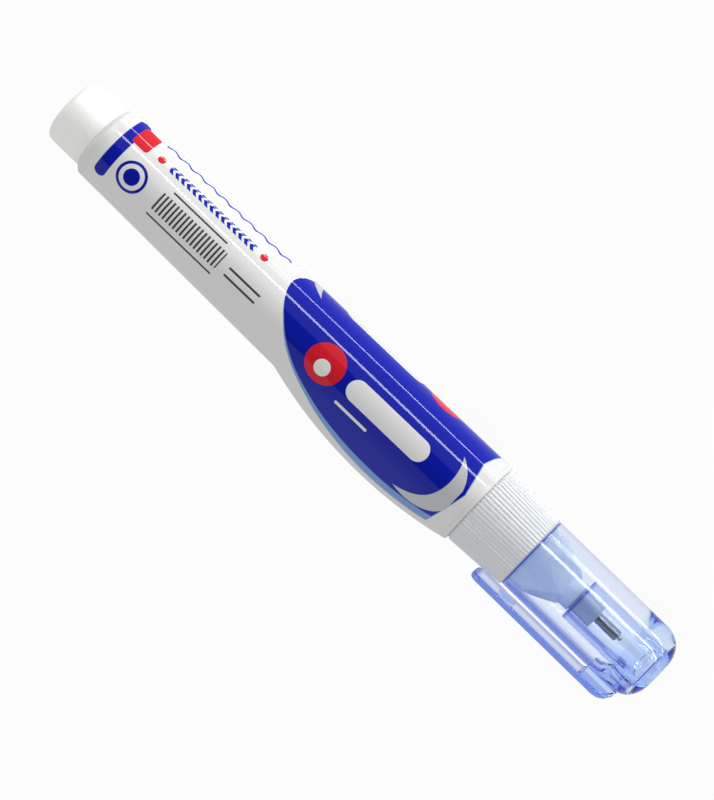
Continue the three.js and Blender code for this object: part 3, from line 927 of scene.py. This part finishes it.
front_u = film.u
front_v = film.v
print_accents(FIELD_START + FIELD_END - front_u, -front_v)
print_accents(front_u, front_v)
print_tail()
film.set("Base Color", film.layer)
film.set("Roughness", film.noise(1.1, 3) * 0.03 + 0.03)
film.set("Specular IOR Level", 0.35)
film.bump(film.noise(0.2, 1, (0.4, 1, 1)), 0.006, 0.35)
finish_piece(sleeve, "barrel", "label_sleeve", film)
print("small shapes printed")

# %% [markdown]
# The tail plug is one milky moulding, a little clearer than the barrel. Its head has a soft
# round edge, and its hollow spigot snaps into the tail of the barrel.

# %% Tail plug
PLUG_RADIUS = 6.35
SPIGOT_ROOM = 0.1
SPIGOT_WALL = 1.3
PLUG_FACE_WALL = 1.6


def make_plug():
    spigot = TAIL_BORE - SPIGOT_ROOM
    corners = [
        (0, 0),
        (0, PLUG_RADIUS, 1.4),
        (BARREL_TAIL - 0.05, PLUG_RADIUS, 0.1),
        (BARREL_TAIL - 0.05, spigot, 0.1),
        *snap_bead(PLUG_BEAD, spigot, *BEAD_SIZE),
        (PLUG_SPIGOT_END, spigot, 0.25),
        (PLUG_SPIGOT_END, spigot - SPIGOT_WALL, 0.2),
        (PLUG_FACE_WALL, spigot - SPIGOT_WALL, 0.6),
        (PLUG_FACE_WALL, 0),
    ]
    piece = lathe("tail_plug", corners, steps=112)
    finish_piece(piece, "barrel", "end_plug", milky_plastic)


make_plug()

# %% [markdown]
# The tip holder is one moulding. In front of its ribbed collar are the seat that the cap
# grips, the cone with four flats, and the nozzle. It is made in three turned parts that are
# joined at the end, because only the ring of ribs needs many points round the pen.

# %% Sizes of the tip holder
COLLAR_TAIL = BARREL_MOUTH + 0.02
COLLAR_FRONT = BARREL_MOUTH + 11.8
COLLAR_TAIL_RADIUS = 8.0
COLLAR_FRONT_RADIUS = 7.4
SEAT_FRONT = COLLAR_FRONT + 3.3
SEAT_RADIUS = 5.85
CONE_FRONT = SEAT_FRONT + 7.8
NOZZLE_FRONT = CONE_FRONT + 4.6
CHAMBER_REAR = COLLAR_FRONT - 9.2
CHAMBER_FRONT = SEAT_FRONT + 4.8
NOZZLE_RADIUS = 2.4
NECK_RADIUS = 2.95
print("collar from", COLLAR_TAIL, "to", COLLAR_FRONT)

# %% [markdown]
# The collar has 66 fine ribs for the fingers. Eight points round the pen make one rib, so the
# ring is spun in 66 times eight steps, and the points between two ribs are then drawn
# towards the axis. One rib could be copied round instead, but this keeps one closed mesh.

# %% Ribbed ring
RIBS = 66
RIB_POINTS = 8
RIB_DEPTH = 0.22
GROOVE_SHARES = {2: 0.06, 3: 0.6, 4: 1.0, 5: 0.6, 6: 0.06}
RING_FRONT = COLLAR_FRONT + 0.15
RING_BORE = 5.6


def cut_grooves(piece):
    """Draws the points between the ribs towards the axis, one row of points at a time."""
    bpy.ops.object.mode_set(mode="EDIT")
    for phase, share in GROOVE_SHARES.items():
        bpy.ops.mesh.select_all(action="DESELECT")
        drawn = bmesh.from_edit_mesh(piece.data)
        for vertex in drawn.verts:
            _, y, z = vertex.co / MM
            step = math.atan2(y, z) / (2 * math.pi) * RIBS * RIB_POINTS
            outside = math.hypot(y, z) > RING_BORE + 1
            if outside and round(step) % RIB_POINTS == phase:
                vertex.select = True
        drawn.select_flush_mode()
        size = 1 - RIB_DEPTH * share / COLLAR_TAIL_RADIUS
        bpy.ops.transform.resize(value=(1, size, size), center_override=(0, 0, 0))
    bpy.ops.object.mode_set(mode="OBJECT")


def make_ribbed_ring():
    corners = [
        (COLLAR_TAIL, RING_BORE),
        (COLLAR_TAIL, COLLAR_TAIL_RADIUS - 0.45),
        (COLLAR_TAIL + 0.45, COLLAR_TAIL_RADIUS - 0.02),
        (RING_FRONT - 0.25, COLLAR_FRONT_RADIUS + 0.02),
        (RING_FRONT, COLLAR_FRONT_RADIUS - 0.25),
        (RING_FRONT, RING_BORE),
    ]
    ring = lathe("ribbed_ring", corners, closed=True, steps=RIBS * RIB_POINTS)
    cut_grooves(ring)
    return ring


ribbed_ring = make_ribbed_ring()

# %% [markdown]
# The cone has four flats, evenly round the pen. For each, a large block is turned to the
# slope of the flat and cut away from the cone, and the ridges that it leaves are rounded so
# that they catch the light. A four-sided cone would have flats too, but no round parts
# between them.

# %% Flats of the cone
PETAL_FRONT = SEAT_FRONT + 6.1
PETAL_RADIUS = 3.58
FLAT_ANGLE = 71
FLAT_DISTANCE = 5.93
FLAT_SLOPE = 31
RIDGE_ROUNDING = 0.16


def cut_flats(piece):
    """Cuts four flats on the cone with one turned block for each, and gives their directions."""
    directions = []
    for i in range(4):
        bpy.ops.object.select_all(action="DESELECT")
        bpy.ops.mesh.primitive_cube_add(size=1)
        block = bpy.context.object
        turned = Matrix.Rotation(-math.radians(FLAT_ANGLE + 90 * i), 4, "X")
        sloped = Matrix.Rotation(math.radians(FLAT_SLOPE), 4, "Y")
        foot = Matrix.Translation((SEAT_FRONT * MM, 0, FLAT_DISTANCE * MM))
        middle = Matrix.Translation((5 * MM, 0, 3 * MM))
        sized = Matrix.Diagonal((10 * MM, 24 * MM, 6 * MM, 1))
        block.matrix_world = turned @ foot @ sloped @ middle @ sized
        bpy.context.view_layer.update()
        apply_modifier(piece, "BOOLEAN", operation="DIFFERENCE", solver="EXACT", object=block)
        bpy.data.objects.remove(block)
        directions.append((turned @ sloped).to_3x3() @ Vector((0, 0, 1)))
    return directions


def soften_flats(piece, directions):
    """Rounds the ridges between the flats and the cone, so that they catch the light."""

    def is_ridge(line):
        flats = [f for f in line.link_faces for d in directions if f.normal.dot(d) > 0.9999]
        return len(flats) == 1

    bpy.ops.object.mode_set(mode="EDIT")
    bevel_edges(piece, is_ridge, RIDGE_ROUNDING, 3)
    bpy.ops.object.mode_set(mode="OBJECT")


print("flats lean", FLAT_SLOPE, "degrees")

# %% [markdown]
# The neck and nozzle are turned round the bore for the needle tip. The body of the moulding,
# with its spigot, seat and cone, is turned too, its flats are cut, and the three parts are
# joined by booleans into one solid.

# %% Tip holder
def make_neck():
    """The round neck and nozzle in front of the cone, with the bore for the needle tip."""
    corners = [
        (SEAT_FRONT + 1.0, NECK_RADIUS),
        (CONE_FRONT, NECK_RADIUS - 0.1, 0.15),
        (CONE_FRONT, NOZZLE_RADIUS, 0.1),
        (NOZZLE_FRONT, NOZZLE_RADIUS, 0.25),
        (NOZZLE_FRONT, 1.1),
        (CHAMBER_FRONT, 1.1),
        (CHAMBER_FRONT, 2.15),
        (SEAT_FRONT + 2.4, 2.15),
        (SEAT_FRONT + 1.0, 2.6),
    ]
    return lathe("neck", corners, closed=True, steps=120)


def make_holder():
    spigot = MOUTH_BORE - SPIGOT_ROOM
    corners = [
        (HOLDER_SPIGOT_START, spigot - SPIGOT_WALL),
        (HOLDER_SPIGOT_START, spigot, 0.2),
        *snap_bead(HOLDER_BEAD, spigot, *BEAD_SIZE),
        (COLLAR_FRONT - 0.5, spigot),
        (COLLAR_FRONT - 0.5, SEAT_RADIUS),
        (SEAT_FRONT, SEAT_RADIUS),
        (PETAL_FRONT, PETAL_RADIUS),
        (PETAL_FRONT, 2.6),
        (SEAT_FRONT + 1.2, 2.6),
        (SEAT_FRONT, 3.0),
        (CHAMBER_REAR, 3.0),
        (CHAMBER_REAR, spigot - SPIGOT_WALL),
    ]
    piece = lathe("tip_holder_moulding", corners, closed=True, steps=120)
    soften_flats(piece, cut_flats(piece))
    for other in (make_neck(), ribbed_ring):
        apply_modifier(piece, "BOOLEAN", operation="UNION", solver="EXACT", object=other)
        bpy.data.objects.remove(other)
    finish_piece(piece, "barrel", "tip_holder", holder_plastic, 24)


make_holder()

# %% [markdown]
# The steel parts are turned or drawn and then polished, so their fine scratches run round
# them. The scratches are noise that is stretched round a part and close together along it.

# %% Steels
BRIGHT_STEEL = colour(196, 198, 204)
SCRATCH_STRETCH = (9, 0.5, 0.5)


def turned_steel(name, tint, roughness, scratch):
    finish = Finish(name, Metallic=1.0)
    scratches = finish.noise(scratch, 2, SCRATCH_STRETCH)
    finish.set("Base Color", finish.mix(scratches * 0.5, tint, BRIGHT_STEEL))
    finish.set("Roughness", scratches * 0.16 + roughness)
    finish.bump(scratches, 0.004, 0.6)
    return finish


tip_steel = turned_steel("tip_steel", colour(104, 106, 116), 0.05, 1.2)
pin_steel = turned_steel("pin_steel", colour(150, 152, 158), 0.2, 2.0)
spring_steel = turned_steel("spring_steel", colour(150, 152, 156), 0.22, 1.6)
ball_steel = turned_steel("ball_steel", colour(176, 178, 184), 0.1, 0.8)
print("four steels")

# %% [markdown]
# The needle tip is a thin steel tube with a flange that holds it in the nozzle and a mouth
# that narrows to the point. The pin runs through it. Its flange takes the spring, and its
# fine end stands out of the mouth until it is pressed on paper.

# %% Needle tip and pin
TIP_FRONT = NOZZLE_FRONT + 4.8
PIN_FRONT = TIP_FRONT + 0.75
PIN_REAR = CHAMBER_REAR + 1.1
PIN_FLANGE = CHAMBER_REAR + 11.0


def make_needle():
    corners = [
        (CHAMBER_FRONT - 1.0, 1.1),
        (CHAMBER_FRONT - 1.0, 2.1, 0.1),
        (CHAMBER_FRONT - 0.1, 2.1, 0.1),
        (CHAMBER_FRONT - 0.1, 1.0),
        (TIP_FRONT, 1.0, 0.3),
        (TIP_FRONT, 0.5, 0.06),
        (TIP_FRONT - 1.2, 0.5),
        (TIP_FRONT - 1.9, 0.85),
        (CHAMBER_FRONT - 0.1, 0.85),
    ]
    piece = lathe("needle_tip", corners, closed=True, steps=64)
    finish_piece(piece, "barrel", "metal_tip", tip_steel)


def make_pin():
    corners = [
        (PIN_REAR, 0),
        (PIN_REAR, 0.6, 0.15),
        (PIN_FLANGE, 0.6),
        (PIN_FLANGE, 1.9, 0.12),
        (PIN_FLANGE + 0.8, 1.9, 0.12),
        (PIN_FLANGE + 0.8, 0.6),
        (TIP_FRONT - 2.15, 0.6),
        (TIP_FRONT - 1.45, 0.38),
        (PIN_FRONT, 0.38, 0.19),
        (PIN_FRONT, 0),
    ]
    piece = lathe("needle_pin", corners, steps=48)
    finish_piece(piece, "pin", "valve_pin", pin_steel)


make_needle()
make_pin()

# %% [markdown]
# The cap is one clear blue moulding. A clip runs along it, and an inner tube closes over the
# nozzle. Between the tube and the wall is a groove, which narrows to a throat near the nose.

# %% Sizes of the cap
CAP_MOUTH = COLLAR_FRONT + 0.2
NOSE_END = CAP_MOUTH + 29.499
CAP_RADIUS = 7.1
CAP_BORE = 6.15
TUBE_MOUTH = NOSE_END - 18.45
TUBE_RADIUS = 4.1
THROAT_START = NOSE_END - 7.6
THROAT_END = NOSE_END - 5.6
THROAT_RADIUS = 5.15
GROOVE_BOTTOM = NOSE_END - 2.0
CLIP_ANGLE = -56
CLIP_WIDTH = 5.6
CLIP_INNER = CAP_RADIUS + 1.5
CLIP_OUTER = CLIP_INNER + 1.15
CLIP_FREE_END = CAP_MOUTH - 4.85
print("cap from", CAP_MOUTH, "to", NOSE_END)

# %% [markdown]
# Clear plastic is tinted by its depth: thin walls look nearly white, and edges, where one
# looks through much plastic, look deep blue. So the surface is clear and the volume inside
# it takes away red and green. The mesh has to be one closed solid for that. Light that runs
# along inside a wall comes out at its rims, and a path tracer finds little of it. So the
# rims, the clip and the long edges as the camera sees them get a painted deep blue shade in
# their surface colour, each zone by a distance in millimetres, a softness, a share, and a
# second distance that limits it.

# %% Clear blue plastic
BLUE_DENSITY = 96
BLUE_TINT = (0.0, 0.36, 0.95, 1)
PAINTED_EDGE_SHADE = (0.15, 0.23, 0.74, 1)
LIMIT_SOFTNESS = 0.1


def painted_edge_shade(finish):
    """How deep the painted edge shade of the surface is, from 0 to 1."""
    x, y, z = finish.split(finish.places())
    radius = (y * y + z * z).math("SQRT")
    turn = math.radians(CLIP_ANGLE)
    out = z * math.cos(turn) + y * math.sin(turn)
    aside = abs(y * math.cos(turn) - z * math.sin(turn))
    low = z * math.cos(VIEW_HEIGHT) - y * math.sin(VIEW_HEIGHT)
    tube = (radius - TUBE_RADIUS - 0.15).math("MAXIMUM", TUBE_MOUTH - x)
    mouth_rim = (x - (CAP_MOUTH + 0.3), 0.25, 1.0, radius - CAP_RADIUS - 0.2)
    tube_rim = (abs(x - TUBE_MOUTH - 0.2) - 0.35, 0.25, 1.0, radius - TUBE_RADIUS - 0.2)
    clip_sides = (1.3 - aside, 3.2, 0.8, CLIP_INNER - 0.1 - out)
    clip_end = (x - (CLIP_FREE_END + 1.3), 1.0, 0.9, x - CAP_MOUTH + 1)
    # The last three bands follow the long edges as the camera sees them, as painted shade.
    low_wall = (5.75 - low, 0.6, 0.34, radius - CAP_RADIUS - 0.1)
    low_tube = (3.2 - low, 0.8, 0.26, tube)
    high_tube = (3.3 + low, 0.6, 0.12, tube)
    painted_shade = None
    for zone in (mouth_rim, tube_rim, clip_sides, clip_end, low_wall, low_tube, high_tube):
        edge, softness, share, limit = zone
        mask = edge.below_zero(softness, share) * limit.below_zero(LIMIT_SOFTNESS)
        painted_shade = painted_shade.math("MAXIMUM", mask) if painted_shade else mask
    return painted_shade


def clear_blue_plastic():
    finish = Finish("clear_blue", Transmission_Weight=1.0, IOR=1.5)
    haze = finish.mix(finish.noise(0.5, 2), PURE_WHITE, (0.97, 0.98, 1, 1))
    # The base colour takes a painted deep blue shade at the rims, the clip and the edges.
    finish.set("Base Color", finish.mix(painted_edge_shade(finish), haze, PAINTED_EDGE_SHADE))
    finish.set("Roughness", finish.noise(0.9, 2) * 0.03 + 0.02)
    values = {"Color": BLUE_TINT, "Density": BLUE_DENSITY}
    tint = finish.node("VolumeAbsorption", None, values)
    finish.join(finish.output.inputs["Volume"], tint.outputs[0])
    return finish


clear_blue = clear_blue_plastic()
print("clear blue plastic mixed")

# %% [markdown]
# The shell of the cap is turned from one profile: the bore of the inner tube, the groove
# round the tube, the wide bore from the throat to the mouth, and the outside with its
# rounded nose. Bends are drawn as curves, so that no sharp corner shows in the plastic.

# %% Cap shell
TUBE_BORE = 2.7
TUBE_BORE_END = NOSE_END - 2.1


def bend(first, middle, last, count):
    """Points of a smooth bend between two points, drawn towards a middle one."""
    points = []
    for i in range(count + 1):
        share = i / count
        weights = ((1 - share) ** 2, 2 * share * (1 - share), share**2)
        x = sum(w * p[0] for w, p in zip(weights, (first, middle, last)))
        radius = sum(w * p[1] for w, p in zip(weights, (first, middle, last)))
        points.append((x, radius))
    return points


def make_shell():
    edge = NOSE_END - 0.5
    shoulder = NOSE_END - 4.2
    groove = (GROOVE_BOTTOM, (TUBE_RADIUS + THROAT_RADIUS) / 2)
    tube_side = GROOVE_BOTTOM - 1.2
    corners = [
        *bend((TUBE_BORE_END, 0), (TUBE_BORE_END, 2.5), (TUBE_BORE_END - 4, 2.6), 10),
        (TUBE_MOUTH + 5.0, TUBE_BORE),
        (TUBE_MOUTH, TUBE_BORE, 0.2),
        (TUBE_MOUTH, TUBE_RADIUS, 0.3),
        *bend((tube_side, TUBE_RADIUS), (GROOVE_BOTTOM, TUBE_RADIUS), groove, 6),
        *bend(groove, (GROOVE_BOTTOM, THROAT_RADIUS), (tube_side, THROAT_RADIUS), 6)[1:],
        (THROAT_END, THROAT_RADIUS, 1.0),
        (THROAT_START, CAP_BORE, 1.0),
        (CAP_MOUTH, CAP_BORE),
        (CAP_MOUTH, CAP_RADIUS, 0.15),
        *bend((shoulder, CAP_RADIUS), ((shoulder + 3 * edge) / 4, 6.75), (edge, 4.6), 10),
        *bend((edge, 4.6), (NOSE_END, 3.75), (NOSE_END, 2.2), 6)[1:],
        (NOSE_END, 0),
    ]
    return lathe("clear_cap", corners, steps=128)


cap = make_shell()

# %% [markdown]
# The clip springs over a pocket's edge. Its free end has round corners when it is seen from
# outside, and a small dome under it holds the cloth. Two helper shapes give it these: a
# block with four rounded edges, which trims it, and a flattened ball, which is joined to it.

# %% Free end of the clip
CLIP_CORNER = 2.2
BOSS_HALF_LENGTH = 1.85
BOSS_HALF_WIDTH = 1.5
BOSS_HEIGHT = 0.75


def make_outline():
    """A block that rounds the corners of the clip's free end, seen from outside."""
    bpy.ops.object.select_all(action="DESELECT")
    middle = (CLIP_FREE_END + 25, 0, CAP_RADIUS + 3)
    bpy.ops.mesh.primitive_cube_add(size=MM, location=[part * MM for part in middle])
    block = bpy.context.object
    block.scale = (50, CLIP_WIDTH + 0.002, 12)
    bpy.ops.object.transform_apply(location=True, rotation=True, scale=True)
    bpy.ops.object.mode_set(mode="EDIT")
    bevel_edges(block, lambda e: abs(e.verts[0].co.z - e.verts[1].co.z) > MM, CLIP_CORNER, 8)
    bpy.ops.object.mode_set(mode="OBJECT")
    return block


def make_boss():
    """The small dome under the clip that holds the cloth."""
    bpy.ops.object.select_all(action="DESELECT")
    spot = ((CAP_MOUTH + 0.5 + BOSS_HALF_LENGTH) * MM, 0, (CLIP_INNER + 0.1) * MM)
    bpy.ops.mesh.primitive_uv_sphere_add(segments=48, ring_count=24, radius=MM, location=spot)
    boss = bpy.context.object
    boss.name = "boss"
    boss.scale = (BOSS_HALF_LENGTH, BOSS_HALF_WIDTH, BOSS_HEIGHT)
    bpy.ops.object.transform_apply(location=True, rotation=True, scale=True)
    return boss


print("boss is", BOSS_HEIGHT, "mm high")

# %% [markdown]
# The clip is drawn from the side as a closed outline, filled, extruded to its width, and its
# long edges are rounded. It is trimmed, gets its boss, is turned round the pen to its place
# and joined to the shell. A bent box would do as well, but the outline holds its sizes.

# %% Clip
CLIP_EDGE = 0.3
SLOT_END = NOSE_END - 9.3
ROOT_END = NOSE_END - 2.9


def make_clip():
    sunk = CAP_RADIUS - 0.6
    corners = [
        (CLIP_FREE_END, CLIP_OUTER, 0.45),
        (CLIP_FREE_END, CLIP_INNER, 0.6),
        (SLOT_END, CLIP_INNER, 0.75),
        (SLOT_END, sunk),
        (ROOT_END, sunk),
        (ROOT_END, CLIP_OUTER, 3.0),
    ]
    clip = draw_profile("clip", corners, closed=True)
    bpy.ops.mesh.select_all(action="SELECT")
    bpy.ops.mesh.edge_face_add()
    bpy.ops.transform.translate(value=(0, -CLIP_WIDTH / 2 * MM, 0))
    bpy.ops.mesh.extrude_region_move(TRANSFORM_OT_translate={"value": (0, CLIP_WIDTH * MM, 0)})
    tidy_mesh()

    def is_long_edge(line):
        flat = abs(line.verts[0].co.y - line.verts[1].co.y) < 0.01 * MM
        return flat and min(v.co.z for v in line.verts) > (CAP_RADIUS + 0.3) * MM

    bevel_edges(clip, is_long_edge, CLIP_EDGE, 4)
    bpy.ops.object.mode_set(mode="OBJECT")
    for operation, other in (("INTERSECT", make_outline()), ("UNION", make_boss())):
        apply_modifier(clip, "BOOLEAN", operation=operation, solver="EXACT", object=other)
        bpy.data.objects.remove(other)
    clip.data.transform(Matrix.Rotation(-math.radians(CLIP_ANGLE), 4, "X"))
    return clip


clip = make_clip()
apply_modifier(cap, "BOOLEAN", operation="UNION", solver="EXACT", object=clip)
bpy.data.objects.remove(clip)
finish_piece(cap, "cap", "cap", clear_blue, 26)
print("cap", len(cap.data.polygons), "faces")

# %% [markdown]
# The mixing ball is a small steel ball that rattles in the barrel. A cube that is subdivided
# and drawn to a sphere has even faces and no poles, which a ready-made sphere would have.

# %% Mixing ball
BALL_RADIUS = 2.48


def make_ball():
    low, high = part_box("agitator_ball")
    centre = (low + high) / 2
    bpy.ops.object.select_all(action="DESELECT")
    bpy.ops.mesh.primitive_cube_add(size=(high.x - low.x) * 0.8, location=centre)
    ball = bpy.context.object
    ball.name = "mixing_ball"
    bpy.ops.object.transform_apply(location=True, rotation=True, scale=True)
    bpy.ops.object.mode_set(mode="EDIT")
    bpy.ops.mesh.select_all(action="SELECT")
    bpy.ops.mesh.subdivide(number_cuts=11)
    bpy.ops.object.mode_set(mode="OBJECT")
    for vertex in ball.data.vertices:
        vertex.co = centre + (vertex.co - centre).normalized() * BALL_RADIUS * MM
    finish_piece(ball, "ball", "agitator_ball", ball_steel, 60)


make_ball()
print("ball radius", BALL_RADIUS, "mm")

# %% [markdown]
# The valve spring is a small coil round the pin. It starts as a circle beside the pin, which
# the Screw modifier carries round in seven turns. In the real pen it gets shorter as the pin
# is pressed.

# %% Coil spring
SPRING_REAR = CHAMBER_REAR + 4.6
SPRING_LENGTH = 6.1
SPRING_TURNS = 7
SPRING_RADIUS = 1.65
WIRE_RADIUS = 0.18


def make_spring():
    bpy.ops.object.select_all(action="DESELECT")
    start = ((SPRING_REAR + WIRE_RADIUS) * MM, 0, SPRING_RADIUS * MM)
    bpy.ops.mesh.primitive_circle_add(
        vertices=12, radius=WIRE_RADIUS * MM, location=start, rotation=(math.pi / 2, 0, 0)
    )
    spring = bpy.context.object
    spring.name = "coil_spring"
    bpy.ops.object.transform_apply(location=True, rotation=True, scale=True)
    apply_modifier(
        spring,
        "SCREW",
        axis="X",
        angle=SPRING_TURNS * 2 * math.pi,
        screw_offset=(SPRING_LENGTH - 2 * WIRE_RADIUS) * MM,
        steps=SPRING_TURNS * 32,
        render_steps=SPRING_TURNS * 32,
    )
    bpy.ops.object.mode_set(mode="EDIT")
    bpy.ops.mesh.select_all(action="SELECT")
    bpy.ops.mesh.fill_holes(sides=0)
    tidy_mesh()
    bpy.ops.object.mode_set(mode="OBJECT")
    print("coil_spring", len(spring.data.polygons), "faces")
    finish_piece(spring, "barrel", "valve_spring", spring_steel, 40)
    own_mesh(spring)


make_spring()

# %% [markdown]
# The slotted retainer behind the spring keeps its CAD shape, because that is right already,
# and gets the milky plastic here.

# %% Retainer
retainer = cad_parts["spring_retainer"]
retainer.data.materials.clear()
retainer.data.materials.append(milky_plastic.material)
print("inner pieces finished")
